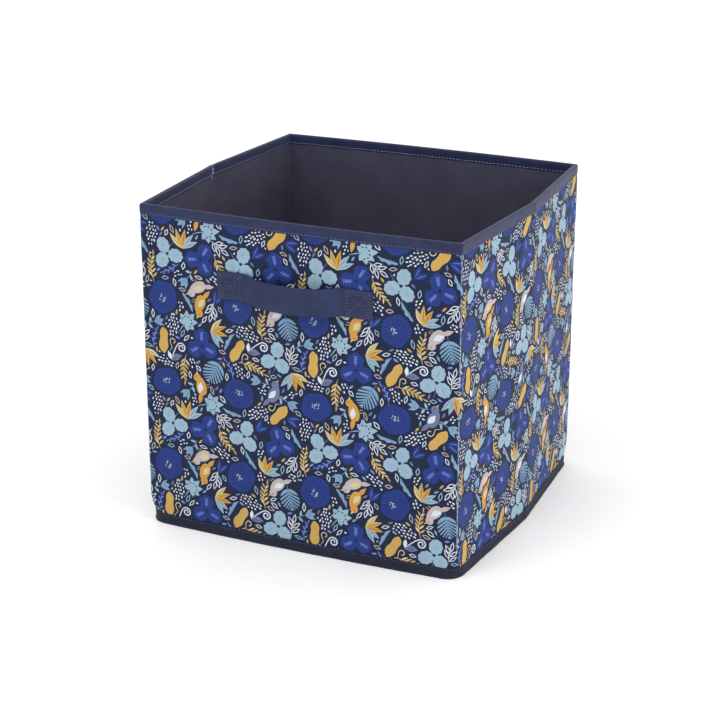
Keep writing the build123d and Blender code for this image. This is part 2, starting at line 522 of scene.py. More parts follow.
def white_sprig(leaves, rng):
    """A twig with outlined leaves on alternate sides and one at its tip."""
    yield "white", stroke([(0, 0), (7, 0.8), (14, 0)], 0.6)
    for i in range(leaves):
        turn = (1 if i % 2 else -1) * rng.uniform(32, 48) if i < leaves - 1 else 0
        yield from moved(outlined(rng.uniform(9, 11.5), 3.9), turn, 3 + i * 12 / leaves, 0)


def dots(wide, high, rng):
    """A cloud of drop-shaped dots in staggered rows."""
    for row, y in enumerate(np.arange(-high / 2 + 1.3, high / 2, 3.4)):
        half = wide / 2 * sqrt(max(0.12, 1 - (2 * y / high) ** 2))
        for x in np.arange(-half + 0.9 + (row % 2) * 1.5, half, 3.1):
            dot = disc(rng.uniform(0.62, 0.85), 7, squash=rng.uniform(1.35, 1.9))
            place = (x + rng.uniform(-0.5, 0.5), y + rng.uniform(-0.5, 0.5))
            yield "white", dot, rng.uniform(-25, 25), *place


def bell():
    side = [(-1.2, -1), (-4.6, 3), (-5.4, 8.5), (-2.6, 5.6)]
    yield "sky", stroke([(0, 0), (-0.8, -6), (0.6, -11)], 0.8)
    yield "sky", np.array(side + [(0, 9.6)] + [(-x, y) for x, y in side[::-1]])
    for x in (-2, 0, 2):
        yield "lilac", stroke([(x * 0.4, 1), (x * 0.8, 3), (x, 5)], 0.5)
    for i in (1, -1):
        yield "pale_sky", leaf(6.5, 2.6, 4), 90 + i * 62, 0, -8 + i


def wavy_leaf():
    x = np.linspace(0, 1, 15)
    half = 3.3 * np.sin(np.pi * x) ** 0.6 * (1 + 0.22 * np.sin(x * 6 * np.pi))
    top, low = beside(x * 21, half), beside(x[::-1] * 21, -half)
    yield "sky", np.concatenate([low, top[-2:0:-1]])
    yield "ink", stroke([(3, 0), (10, 0.3), (17, 0)], 0.6)


def pod(rng):
    """A curved seed pod with speckles and a curled tendril."""
    line = beside(4.2 * np.sin(np.linspace(-1.3, 1.3, 9) * 1.1), np.linspace(-12, 12, 9))
    yield "mustard", ribbon(line, (0.7, 3.4, 4.9, 5.0, 4.2, 4.0, 4.5, 3.7, 0.9))
    for i in range(22):
        k = rng.uniform(1, 7)
        x, y = (np.interp(k, range(9), line[:, axis]) for axis in (0, 1))
        x += rng.uniform(-3, 3)
        yield "orange", disc(rng.uniform(0.35, 0.6), 5), rng.uniform(0, 90), x, y
    a = np.linspace(0, 1.65 * np.pi, 12)
    curl = beside(9.5 - 3.4 * np.cos(a) * (1 - a / 9), -3.5 + 3.6 * np.sin(a) * (1 - a / 9))
    yield "cream", stroke([(2.5, -11), (6.2, -9), *curl], 0.95, 0.5)


def bird(body, wing):
    """A plain small bird: tail, body, head, beak, wing, eye and legs."""
    a = np.linspace(0, 2 * np.pi, 22, endpoint=False)
    yield body, leaf(13, 4.6, 5), 168, -5, 0
    yield body, beside(9.0 * np.cos(a), (5.4 - 0.9 * np.cos(a)) * np.sin(a) + 0.8 * np.cos(a))
    yield body, disc(3.9, 16), 0, 8.3, 4.0
    yield "mustard" if body != "orange" else "cream", np.array([(11.4, 5.4), (15.2, 4.0), (11.6, 3.0)])
    yield wing, leaf(11.5, 5.6, 6, 0.04), 172, 4.2, 0.6
    yield "ink", disc(0.65, 7), 0, 9.6, 4.9
    for x in (-0.5, 2.2):
        yield "cream", stroke([(x, -5.2), (x + 0.5, -7.2), (x + 1.6, -8.4)], 0.6)


def fiddlehead():
    """A fern tip that curls, with two leaves at its foot."""
    a = np.linspace(0, 3.1 * np.pi, 24)
    r = 4.9 * (1 - a / 12.5)
    curl = beside(-r * np.cos(a), 8 + r * np.sin(a))[::-1]
    yield "white", stroke([*curl, (-5.0, 4), (-4.4, -2), (-3.2, -9)], 1.35, 0.6)
    yield "lilac", leaf(14, 6.4, 6, 0.06), 58, -3.2, -10
    yield "white", leaf(9, 4.0, 5), 142, -3.2, -9
    yield "ink", stroke([(2, 0), (5, 0.2), (10, 0)], 0.55), 58, -3.2, -10


def buds():
    for turn in (0, 38):
        yield "royal", leaf(15, 5.2, 6), turn
        yield "periwinkle", stroke([(3, 0), (7, 0.2), (12, 0)], 0.6), turn


def motif_list(rng):
    """Every motif of one tile as (kind, colour family, shapes), the largest first."""
    made = []

    def add(kind, family, *motifs):
        for motif in motifs:
            shapes = [(colour, moved(shape, *place)) for colour, shape, *place in motif]
            every = np.concatenate([s for _, s in shapes])
            middle = (every.min(0) + every.max(0)) / 2
            made.append((kind, family, moved(shapes, 0, -middle[0], -middle[1])))

    def several(count, build, *given):
        return [build(*given, rng) for _ in range(count)]

    def fronds(bends, *given):
        return [frond(*given, bend) for bend in bends]

    add("round", "blue", *[round_flower(r, rng) for r in (15.8, 15.2, 14.6, 15.0)])
    add("trio", "blue", *several(3, trio_flower))
    add("clover", "pale", *several(3, clover))
    add("pod", "gold", *several(3, pod))
    add("bird", "gold", bird("orange", "cream"), bird("orange", "white"))
    add("bird", "grey", bird("rose_grey", "white"), bird("lilac", "white"), bird("rose_grey", "cream"))
    add("fiddlehead", "grey", fiddlehead(), fiddlehead())
    add("striped", "pale", striped_leaf(11.5), striped_leaf(10.8))
    add("lobed", "pale", *several(2, lobed_leaf))
    add("fan", "gold", *several(4, fan))
    grain = ("mustard", "cream", "mustard")
    add("wheat", "gold", *fronds((3, -3, 2, -2, 3), 27, 5, 8.0, 2.3, "cream", grain))
    add("dots", "white", *several(4, dots, 12, 24), *several(3, dots, 9, 18))
    add("sprig", "white", *several(4, white_sprig, 5))
    add("bell", "pale", *[bell() for _ in range(5)])
    add("wavy", "pale", *[wavy_leaf() for _ in range(5)])
    add("buds", "blue", *[buds() for _ in range(3)])
    add("frond", "blue", *fronds((2, -2, 1, 2), 21, 6, 5.0, 1.6, "periwinkle", ("periwinkle", "royal")))
    add("sprig", "white", *several(7, white_sprig, 3))
    add("dots", "white", *several(9, dots, 6, 11))
    for line in ["white", "pale_sky", "rose_grey", "white"] * 10:
        add("leaf", line, outlined(rng.uniform(7.5, 10), rng.uniform(3.4, 4.2), line))
    for shade in ["periwinkle", "sky", "mustard", "lilac"] * 9:
        add("seed", shade, [(shade, leaf(6.0, 2.2, 4))])
    add("speck", "white", *several(16, dots, 3, 3.2))
    return made


# ---------------------------------------------------------------- print: packing the motifs into a tile

GAP = 2  # least cells of ground between motifs, on a grid of one-millimetre cells


def inside(shape, points):
    """Which points are inside a closed shape."""
    x, y = points[:, 0, None], points[:, 1, None]
    x0, y0 = shape[:, 0], shape[:, 1]
    x1, y1 = np.roll(x0, -1), np.roll(y0, -1)
    with np.errstate(divide="ignore", invalid="ignore"):
        cross = ((y0 > y) != (y1 > y)) & (x < (x1 - x0) * (y - y0) / (y1 - y0) + x0)
    return cross.sum(1) % 2 == 1


def footprint(motif, columns, rows):
    """Cells that a motif covers on the tile's grid, with the motif at its corner."""
    every = np.concatenate([s for _, s in motif])
    xs, ys = (np.arange(floor(v.min()) - 1, ceil(v.max()) + 2) for v in every.T)
    cells = np.stack(np.meshgrid(xs, ys), -1).reshape(-1, 2)
    hit = cells[np.any([inside(s, cells) for _, s in motif], axis=0)]
    mask = np.zeros((rows, columns))
    mask[hit[:, 1] % rows, hit[:, 0] % columns] = 1
    return mask


def spread(mask, cells):
    """The mask grown by some cells, round the tile's edges too."""
    grown = mask.copy()
    for dx in range(-cells, cells + 1):
        for dy in range(-cells, cells + 1):
            if dx * dx + dy * dy <= cells * cells + 1:
                grown = np.maximum(grown, np.roll(mask, (dy, dx), (0, 1)))
    return grown


def warmth(mask, place, reach):
    """A field that is high near a place, round the tile's edges too."""
    away = [(np.arange(n) - p + n / 2) % n - n / 2 for n, p in zip(mask.shape, place)]
    down, across = (np.exp(-((d / reach) ** 2)) for d in away)
    return down[:, None] * across


def pack_tile():
    """The tile's shapes: each motif where it fits beside others but away from its own kind."""
    rng = np.random.default_rng(5)
    columns, rows = round(TILE_WIDE), round(TILE_HIGH)
    stretch = np.array([TILE_WIDE / columns, TILE_HIGH / rows])
    taken, shapes, kinds, families, crowd = np.zeros((rows, columns)), [], {}, {}, 0
    for kind, family, motif in motif_list(rng):
        free, near = np.fft.rfft2(taken), np.fft.rfft2(spread(taken, 2) - taken)
        avoid = 1.6 * kinds.get(kind, 0) + 0.8 * families.get(family, 0) + 0.5 * crowd
        tries = []
        for angle in rng.uniform(0, 360, 5 if len(motif) > 2 else 3):
            trial = moved(motif, angle)
            mask = footprint(trial, columns, rows)
            own = np.conj(np.fft.rfft2(mask))
            clash, touch = (np.fft.irfft2(field * own, s=mask.shape) for field in (free, near))
            score = 1.6 * touch / mask.sum() - avoid + rng.uniform(0, 0.02, mask.shape)
            score[clash > 0.5] = -99
            at = np.unravel_index(score.argmax(), score.shape)
            tries.append((score[at], at, trial, mask))
        score, at, trial, mask = max(tries, key=lambda one: one[0])
        if score < -98:
            continue
        taken = np.maximum(taken, spread(np.roll(mask, at, (0, 1)), GAP))
        crowd = crowd + mask.sum() / 150 * warmth(mask, at, 24)
        kinds[kind] = kinds.get(kind, 0) + warmth(mask, at, 50)
        families[family] = families.get(family, 0) + warmth(mask, at, 26)
        shapes += [(c, (s + np.array(at[::-1])) * stretch) for c, s in trial]
    return shapes


TILE = pack_tile()


def prints_in(t0, t1, z0, z1):
    """Every shape of the repeated tile that reaches into a stretch of wall."""
    found = []
    for colour, s in TILE:
        (x0, y0), (x1, y1) = s.min(0), s.max(0)
        for i in range(ceil((t0 - x1) / TILE_WIDE), floor((t1 - x0) / TILE_WIDE) + 1):
            for j in range(ceil((z0 - y1) / TILE_HIGH), floor((z1 - y0) / TILE_HIGH) + 1):
                found.append((colour, s + np.array([i * TILE_WIDE, j * TILE_HIGH])))
    return found


# ---------------------------------------------------------------- materials


class Nodes:
    """Short calls for building one material's nodes."""

    def __init__(self, name, roughness, sheen, specular):
        self.material = bpy.data.materials.new(name)
        self.material.use_nodes = True
        self.tree = self.material.node_tree
        self.shader = self.tree.nodes["Principled BSDF"]
        look = {"Roughness": roughness, "Sheen Weight": sheen, "Sheen Roughness": 0.45}
        self.give(self.shader, {**look, "Specular IOR Level": specular})

    def give(self, node, values):
        """Sets sockets, each to a number, a colour or another node's output."""
        for socket, value in values.items():
            if isinstance(value, (int, float)):
                node.inputs[socket].default_value = value
            elif isinstance(value, tuple):
                node.inputs[socket].default_value = (*value, 1.0)
            else:
                self.tree.links.new(value, node.inputs[socket])

    def node(self, kind, values, output=0, **settings):
        """One output of a new node."""
        node = self.tree.nodes.new(f"ShaderNode{kind}")
        for setting, value in settings.items():
            setattr(node, setting, value)
        self.give(node, values)
        return node.outputs[output]

    def cloth(self):
        """The place on the flat cloth, and its two parts."""
        place = self.node("UVMap", {}, uv_map="cloth")
        parts = self.node("SeparateXYZ", {0: place}).node
        return place, parts.outputs[0], parts.outputs[1]

    def place(self):
        return self.node("TexCoord", {}, "Object")

    def math(self, kind, *terms):
        return self.node("Math", dict(enumerate(terms)), operation=kind)

    def plus(self, a, b):
        return self.math("ADD", a, b)

    def times(self, a, b):
        return self.math("MULTIPLY", a, b)

    def wave(self, place, length, kind="SINE"):
        """A wave of a length in millimetres."""
        return self.math(kind, self.times(place, 2 * pi * 1000 / length))

    def noise(self, vector, scale, detail, rough=0.55):
        return self.node("TexNoise", {"Scale": scale, "Detail": detail, "Roughness": rough, "Vector": vector})

    def fit(self, value, low, high, out_low=0.0, out_high=1.0):
        return self.node("MapRange", {0: value, 1: low, 2: high, 3: out_low, 4: out_high})

    def mix(self, factor, a, b):
        return self.node("Mix", {0: factor, 6: a, 7: b}, 2, data_type="RGBA")

    def finish(self, colour, height, strength, depth):
        """The material with its colour, and bumps of a depth in millimetres."""
        bumps = {"Strength": strength, "Distance": depth / 1000, "Height": height}
        self.give(self.shader, {"Base Color": colour, "Normal": self.node("Bump", bumps)})
        return self.material


def printed_cloth():
    n = Nodes("printed_cloth", 0.62, 0.0, 0.22)
    cloth, x, y = n.cloth()
    weave = n.times(n.wave(x, 0.84), n.wave(y, 0.84))
    fine, broad = n.noise(cloth, 1500, 2), n.noise(cloth, 60, 3)
    amount = n.times(n.fit(fine, 0.3, 0.7, 0.80, 1.18), n.fit(broad, 0.3, 0.7, 0.93, 1.07))
    amount = n.times(amount, n.fit(weave, -1.0, 1.0, 0.93, 1.06))
    inks = n.node("Attribute", {}, "Color", attribute_name="print")
    shaded = n.node("VectorMath", {0: inks, "Scale": amount}, operation="SCALE")
    # Wear and painted highlight: along the corner's crease the colour is mixed towards a pale grey-blue.
    edges = n.node("Attribute", {}, "Fac", attribute_name="wear_and_highlight")
    rubbed_and_highlit = n.times(edges, n.fit(n.noise(cloth, 260, 4, 0.7), 0.36, 0.56))
    return n.finish(n.mix(rubbed_and_highlit, shaded, (0.36, 0.41, 0.54)), n.plus(weave, n.times(fine, 0.8)), 0.35, 0.09)


def ribbed_tape(name, dark, light, sheen=0.0):
    """A binding tape with fine ribs across its length."""
    n = Nodes(name, 0.6, sheen, 0.2)
    cloth, x, y = n.cloth()
    fuzz, cloud = n.noise(cloth, 1200, 3), n.noise(cloth, 70, 3)
    height = n.plus(n.plus(n.wave(x, 0.9), n.times(n.wave(y, 0.5), 0.4)), fuzz)
    tone = n.fit(n.plus(cloud, n.times(height, 0.12)), 0.3, 0.9)
    return n.finish(n.mix(tone, dark, light), height, 0.4, 0.12)


def felted(name, dark, light):
    """Non-woven cloth: a mat of short fibres with a fine grid of pressed points."""
    n = Nodes(name, 0.85, 0.05, 0.15)
    cloth, x, y = n.cloth()
    fibres, cloud = n.noise(cloth, 900, 4, 0.7), n.noise(cloth, 22, 4, 0.6)
    a, b = (n.wave(n.math(kind, x, y), 2.1, "COSINE") for kind in ("ADD", "SUBTRACT"))
    pressed = n.math("MAXIMUM", n.plus(n.plus(a, b), -1.1), 0.0)
    tone = n.plus(n.times(cloud, 0.7), n.times(fibres, 0.5))
    tone = n.fit(n.math("SUBTRACT", tone, n.times(pressed, 0.12)), 0.35, 0.85)
    return n.finish(n.mix(tone, dark, light), n.math("SUBTRACT", fibres, n.times(pressed, 0.7)), 0.45, 0.18)


def webbing(name, dark, light):
    """A strap's twill, with rows of thread along it."""
    n = Nodes(name, 0.6, 0.0, 0.15)
    cloth, x, y = n.cloth()
    rows, twill = n.wave(y, 1.5), n.wave(n.plus(x, n.times(y, 0.5)), 1.0)
    fuzz, cloud = n.noise(cloth, 1300, 3), n.noise(cloth, 45, 3)
    height = n.plus(n.times(rows, 0.5), n.plus(n.times(twill, 0.5), fuzz))
    tone = n.fit(n.plus(cloud, n.times(height, 0.1)), 0.3, 0.85)
    return n.finish(n.mix(tone, dark, light), height, 0.4, 0.1)


def sewing_thread(name, dark, light):
    n = Nodes(name, 0.5, 0.2, 0.4)
    twist = n.noise(n.place(), 1600, 2)
    return n.finish(n.mix(n.fit(twist, 0.3, 0.7), dark, light), twist, 0.5, 0.1)


def grey_board(name, dark, light):
    n = Nodes(name, 0.9, 0.0, 0.2)
    place = n.place()
    fibres, cloud = n.noise(place, 700, 5, 0.75), n.noise(place, 40, 4)
    tone = n.fit(n.plus(n.times(fibres, 0.7), n.times(cloud, 0.4)), 0.4, 0.75)
    return n.finish(n.mix(tone, dark, light), fibres, 0.4, 0.15)


PRINTED = printed_cloth()
RIM_TAPE = ribbed_tape("rim_tape", (0.0110, 0.0160, 0.050), (0.022, 0.030, 0.087), sheen=0.14)
FOOT_TAPE = ribbed_tape("foot_tape", (0.0060, 0.0085, 0.020), (0.0125, 0.0165, 0.036))
LINED = felted("lining_fabric", (0.045, 0.043, 0.073), (0.081, 0.078, 0.119))
UNDER = felted("base_cloth", (0.014, 0.015, 0.034), (0.028, 0.029, 0.060))
STRAP = webbing("strap_webbing", (0.016, 0.023, 0.062), (0.027, 0.037, 0.090))
DARK_THREAD = sewing_thread("dark_thread", (0.016, 0.018, 0.045), (0.040, 0.045, 0.10))
PATCH_THREAD = sewing_thread("patch_thread", (0.036, 0.034, 0.080), (0.085, 0.078, 0.160))
PALE_THREAD = sewing_thread("pale_thread", (0.19, 0.21, 0.35), (0.38, 0.41, 0.58))
PLUM_THREAD = sewing_thread("plum_thread", (0.055, 0.050, 0.13), (0.12, 0.11, 0.24))
BOARD = grey_board("grey_board", (0.27, 0.25, 0.22), (0.42, 0.39, 0.34))

# ---------------------------------------------------------------- printed fabric


def skin_point(t, z, d):
    """The outer fabric, with swells that die away under the bindings and at the creases."""
    t, z = np.asarray(t, float), np.asarray(z, float)
    free = smooth(z, 10.5, 20) * smooth(z, RIM_LOW + 0.5, RIM_LOW - 9) * smooth(CREASE_T - np.abs(t), 0, 25)
    return ring(t, z, d - 0.1 - puff(t, z) * free)


def winding(shape):
    """Twice the area of a flat outline, positive if it runs anticlockwise."""
    x, y = shape.T
    return float(x @ np.roll(y, -1) - y @ np.roll(x, -1))


def corner_lines(t0, t1):
    """Columns that the corner's bend needs, in t."""
    after = [0.4, 0.8, 1.2, 1.9, 3.2, 5, 7, 9, 11.5, 14, 17]
    steps = [-e for e in after[::-1]] + [0] + after
    lines = [s * (CORNER_T + e) for s in (-1, 1) for e in steps]
    return [x for x in lines if t0 + 0.05 < x < t1 - 0.05]


@functools.cache
def cut_print(t0, t1, lines):
    """The print on the flat cloth: points, triangles and each triangle's colour."""
    z0, z1 = SKIN_LOW, SKIN_HIGH
    shapes = [(colour, s if winding(s) > 0 else s[::-1]) for colour, s in prints_in(t0, t1, z0, z1)]
    points, faces, edges = [(t0, z0), (t1, z0), (t1, z1), (t0, z1)], [[0, 1, 2, 3]], []
    for _, s in shapes:
        faces.append(list(range(len(points), len(points) + len(s))))
        points += [tuple(p) for p in s]
    for x in [*corner_lines(t0, t1), *lines]:
        edges.append((len(points), len(points) + 1))
        points += [(x, z0), (x, z1)]
    for z in (7, 11, 15, 19, 24, 30):
        edges.append((len(points), len(points) + 1))
        points += [(t0, z), (t1, z)]
    across = np.linspace(t0, t1, round((t1 - t0) / 7) + 1)[1:-1]
    up = np.linspace(z0, z1, round((z1 - z0) / 7) + 1)[1:-1]
    points += [(x, z) for x in across for z in up]
    made = delaunay_2d_cdt([Vector(p) for p in points], edges, faces, 1, 1e-4)
    flat, triangles, owners = np.array([tuple(p) for p in made[0]]), made[2], made[5]
    kept = [(f, o) for f, o in zip(triangles, owners) if 0 in o]
    colours = [shapes[max(o) - 1][0] if max(o) > 0 else "ground" for _, o in kept]
    used = sorted({i for f, _ in kept for i in f})
    order = {old: new for new, old in enumerate(used)}
    faces = [[order[i] for i in (f if winding(flat[list(f)]) > 0 else f[::-1])] for f, _ in kept]
    return flat[used], faces, colours


def wear_and_highlight(t, z):
    """Where the print is rubbed off and a highlight is painted: a lighter line along the corner's edge, above the
    rounded foot.
    """
    edge = np.exp(-(((np.abs(t) - CORNER_T) / 0.7) ** 2))
    return 0.85 * edge * smooth(z, 22, 40)


def printed_object(name, cut, place):
    """A closed printed sheet from its flat triangles."""
    flat, faces, colours = cut
    t, z = flat[:, 0], flat[:, 1]
    points, every = shell(place(t, z, 0.0), place(t, z, SKIN), faces)
    colours = colours + ["ground"] * (len(every) - len(faces))
    corners = [(*COLOURS[colour], 1.0) for colour, face in zip(colours, every) for _ in face]
    return make(name, points, every, PRINTED, np.concatenate([flat, flat]), [
        ("print", "FLOAT_COLOR", "CORNER", "color", corners),
        # This mask holds the wear and the painted highlight along the corners.
        ("wear_and_highlight", "FLOAT", "POINT", "value", np.concatenate([wear_and_highlight(t, z), np.zeros(len(t))])),
    ])


# ---------------------------------------------------------------- lining and bindings


def rim_profile():
    """The rim's tape in section, as (z, d): up the outside, over the top and down the inside."""
    low, spring, middle = RIM_LOW, 318.0, WALL / 2
    leg = [(low, 0.42), (low + 1.3, 0.5), (low + 2.4, 0.66), (low + 5, 0.7), (spring, 0.7)]
    turns = np.linspace(0, pi, 11)[1:-1]
    over = [(spring + 2.0 * sin(a), middle - (middle + 0.7) * cos(a)) for a in turns]
    return [(z, -out) for z, out in leg] + over + [(z, WALL + out) for z, out in leg[::-1]]


def foot_profile():
    """The base's tape in section: down the inside, under the wall and up the outside."""
    high = BINDING_HIGH
    leg = [(high, 0.42), (high - 1.2, 0.52), (high - 2.4, 0.66), (5.5, 0.7), (3.6, 0.72)]
    roll = [(2.4, 1.15), (1.3, 1.3), (0.4, 0.95), (0.05, 0.2)]
    inside = [(z, WALL + out) for z, out in leg] + [(1.2, WALL + 0.6), (0.05, WALL - 0.2)]
    return inside + [(0.0, WALL / 2)] + [(z, -out) for z, out in roll[::-1] + leg[::-1]]


def lined(t, z, d):
    """The lining hangs a little loose: long shallow swells, and pressed folds that run down it."""
    t, z = np.asarray(t, float), np.asarray(z, float)
    free = smooth(z, 8, 40) * smooth(z, 312, 290) * smooth(CREASE_T - np.abs(t), 0, 18)
    swell = 0.35 * np.sin(t / 29 + 0.7 * np.sin(z / 60)) + 0.2 * np.sin(t / 13 - z / 50)
    away = np.abs(t) - 1.5 * np.sin(z / 70)
    folds = sum(0.45 * np.exp(-(((away - at) / 1.6) ** 2)) for at in (46, 107, 214, 262))
    return ring(t, z, d + free * (0.35 + swell + folds))


def taped(t, z, d):
    """Tape that ripples slightly where it is sewn."""
    ripple = 0.1 * (np.sin(np.asarray(t) / 7.3) + 0.7 * np.sin(np.asarray(t) / 2.3 + 1.2))
    return ring(t, z, d + ripple * (d - WALL / 2) / (WALL / 2 + 0.7))


def rail(along, d):
    """t of a place along the side half, at depth d."""
    return CORNER_T + float(past(along, d))


FRONT_END, HALF_START, HALF_END = rail(WRAP_END, 0.0), rail(SIDE_START, 0.0), rail(SIDE_END, 0.0)
PANELS = {  # body: (title, first t, last t, whether it is on the back half)
    "front_wall": ("front", -FRONT_END, FRONT_END, False),
    "right_front": ("right_front", HALF_START, HALF_END, False),
    "left_front": ("left_front", -HALF_END, -HALF_START, False),
    "back_wall": ("back", -FRONT_END, FRONT_END, True),
    "left_rear": ("left_rear", HALF_START, HALF_END, True),
    "right_rear": ("right_rear", -HALF_END, -HALF_START, True),
}


def columns(t0, t1):
    """The columns of a panel as a function of depth, closer together round its corners."""
    places = np.unique([*np.linspace(t0, t1, round((t1 - t0) / 5.2)), *corner_lines(t0, t1)])

    def at(d):
        front, start, end = rail(WRAP_END, d), rail(SIDE_START, d), rail(SIDE_END, d)
        if t0 < 0 < t1:
            return np.interp(places, [t0, -130, 130, t1], [-front, -130, 130, front])
        return np.interp(places, [t0, t1], [start, end] if t0 > 0 else [-end, -start])

    return at


def swath(name, across, profile, thickness, material, place):
    """A closed strip of cloth. across(d) gives its columns and place(t, z, d) its points."""
    profile = np.array(profile)
    inner = profile + thickness * to_left(profile)
    outside = np.concatenate([place(across(d), z, d) for z, d in profile])
    within = np.concatenate([place(across(d), z, d) for z, d in inner])
    flat_t = across(0.0)
    run = run_of(profile)
    uv = beside(np.tile(flat_t, len(run)), np.repeat(run, len(flat_t)))
    points, faces = shell(outside, within, grid_faces(len(run), len(flat_t)))
    return make(name, points, faces, material, np.concatenate([uv, uv])), float(run[-1])


HANGING = [(z, WALL) for z in np.linspace(318.4, 4.8, 36)]  # the lining's section
LAYERS = {  # layer: (piece, profile, thickness, material, surface, slot, how it is held)
    "lining": ("lining_cloth", HANGING, LINING, LINED, lined, "lining", "stretched"),
    "rim_tape": ("rim_binding", rim_profile(), TAPE, RIM_TAPE, taped, "binding", "folded"),
    "base_tape": ("base_binding", foot_profile(), TAPE, FOOT_TAPE, taped, "binding", "folded"),
}

# ---------------------------------------------------------------- wall pieces


def on_half(half):
    """Makes a surface of the front half into one of either half."""
    return lambda surface: lambda t, z, d: turned(surface(t, z, d), half)


def corner_bridge(side, half):
    """The cloth across a corner's fold: its columns by depth, and what makes a surface its own."""

    def across(d):
        t = np.linspace(rail(WRAP_END, d), rail(SIDE_START, d), 8)
        return t if side > 0 else -t[::-1]

    return across, on_half(half)


def crease_bridge(half):
    """The same across a side's crease, straight from the one half to the other."""

    def across(d):
        return np.linspace(rail(SIDE_END, d), 2 * CREASE_T - rail(SIDE_END, d), 9)

    def on(surface):
        def place(t, z, d):
            end = rail(SIDE_END, d)
            f = ((np.asarray(t) - end) / (2 * (CREASE_T - end)))[..., None]
            before, after = surface(0 * t + end, z, d), turned(surface(0 * t - end, z, d), True)
            return turned(before * (1 - f) + after * f, half)

        return place

    return across, on


CREASE_BEND = 0.14
BRIDGES = {  # name: (side of a corner or 0 for a crease, whether on the back half, bodies before and after)
    "front_right_corner": (1, False, "front_wall", "right_front"),
    "front_left_corner": (-1, False, "front_wall", "left_front"),
    "rear_left_corner": (1, True, "back_wall", "left_rear"),
    "rear_right_corner": (-1, True, None, "right_rear"),
    "right_crease": (0, False, "right_front", "right_rear"),
    "left_crease": (0, True, "left_rear", "left_front"),
}


def cloths(title, t0, t1, lines, across, on):
    """The cloths of a stretch of wall: layer, piece, slot, flat height and how it is held."""
    skin = printed_object(f"{title}_printed_fabric", cut_print(t0, t1, lines), on(skin_point))
    yield "outer_fabric", skin, "printed_fabric", SKIN_HIGH - SKIN_LOW, "stretched"
    for layer, (piece, profile, thickness, material, surface, slot, held) in LAYERS.items():
        strip, run = swath(f"{title}_{piece}", across, profile, thickness, material, on(surface))
        yield layer, strip, slot, run, held


def bridge_pieces():
    """The strips across the folds, by the panel that their cloth belongs to and by layer."""
    made = {}
    for name, (side, half, before, after) in BRIDGES.items():
        if side:
            across, on = corner_bridge(side, half)
            ends = [(AXIS_X + along * SIN, -AXIS_Y + along * COS) for along in (WRAP_END, SIDE_START)]
        else:
            across, on = crease_bridge(half)
            ends = [(CREASE_X, -CREASE_BEND), (CREASE_X, CREASE_BEND)]
        turn = -1 if half else 1
        span = [(turn * (side or 1) * x / 1000, turn * y / 1000, HEIGHT / 2000) for x, y in ends]
        t = across(0.0)
        for layer, strip, slot, _, _ in cloths(name, t[0], t[-1], tuple(t[1:-1]), across, on):
            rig.slot(strip, slot)
            if before:
                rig.blend(strip, before, after, *span)
            else:
                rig.ride(strip, after)
            made.setdefault((before or "back_wall", layer), []).append(strip)
    return made


def wall_pieces(bridges):
    for body, (title, t0, t1, half) in PANELS.items():
        for layer, piece, slot, high, held in cloths(title, t0, t1, (), columns(t0, t1), on_half(half)):
            placed(piece, body, slot, f"{title}_{layer}")
            if layer == "outer_fabric":
                skin = piece
            under = skin if held == "folded" else f"{title}_board"
            strips = bridges.get((body, layer), ())
            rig.sheet(piece, ((t1 - t0) / 1000, high / 1000), held, [under], with_pieces=strips)


def rear_tongue():
    """The rounded edge that shows at the rear right corner when the bin is folded."""
    turns = np.linspace(0, radians(95), 9)

    def wedge(name, heights, material, slot):
        rings = []
        for z in heights:
            foot = EDGE_RADIUS + (FOOT_RADIUS - EDGE_RADIUS) * (1 - smooth(z, 5, FOOT_TOP))
            reach = min(3.6, 4.5 * sqrt(2) - (sqrt(2) - 1) * foot - 1.2)
            arc = [(reach * cos(a - LEAN), reach * sin(a - LEAN)) for a in turns]
            rings.append([(AXIS_X + x, AXIS_Y + y, z) for x, y in [(0, 0), *arc]])
        faces = tube_faces(len(rings), len(rings[0]))
        points = np.concatenate(rings)
        ground = np.tile((*COLOURS["ground"], 1.0), (sum(len(f) for f in faces), 1))
        flat = beside(points[:, 0] + points[:, 1], points[:, 2])
        colours = [("print", "FLOAT_COLOR", "CORNER", "color", ground)]
        placed(make(name, points, faces, material, flat, colours), "right_rear", slot)

    wedge("rear_right_edge_fabric", np.linspace(21, RIM_LOW, 40), PRINTED, "printed_fabric")
    wedge("rear_right_edge_tape", np.linspace(RIM_LOW + 0.1, 318.9, 5), RIM_TAPE, "binding")


wall_pieces(bridge_pieces())
rear_tongue()

# ---------------------------------------------------------------- stitches

THREAD = 0.33  # radius
PITCH, DASH = 4.1, 2.8


def stitches(name, body, dashes, material, slot="binding"):
    """Short threads as closed capsules. A dash is (start, end, direction out of the cloth)."""
    a, b, out = (np.array(x, float) for x in zip(*dashes))
    way = (b - a) / np.linalg.norm(b - a, axis=1)[:, None]
    out /= np.linalg.norm(out, axis=1)[:, None]
    side = np.cross(way, out)
    rings = ((0.0, 0.3, -0.3), (0.14, 0.9, -0.02), (0.5, 1.0, 0.12), (0.86, 0.9, -0.02), (1.0, 0.3, -0.3))
    layers, sides = [], 6
    for f, size, lift in rings:
        middle = a + (b - a) * f + out * lift
        for k in range(sides):
            angle = 2 * pi * k / sides
            layers.append(middle + THREAD * size * (side * cos(angle) + out * sin(angle)))
    points = np.stack(layers, 1).reshape(-1, 3)
    step = sides * len(rings)
    faces = [tuple(i + n * step for i in f) for n in range(len(a)) for f in tube_faces(len(rings), sides)]
    return placed(make(name, points, faces, material, sharp=80), body, slot)


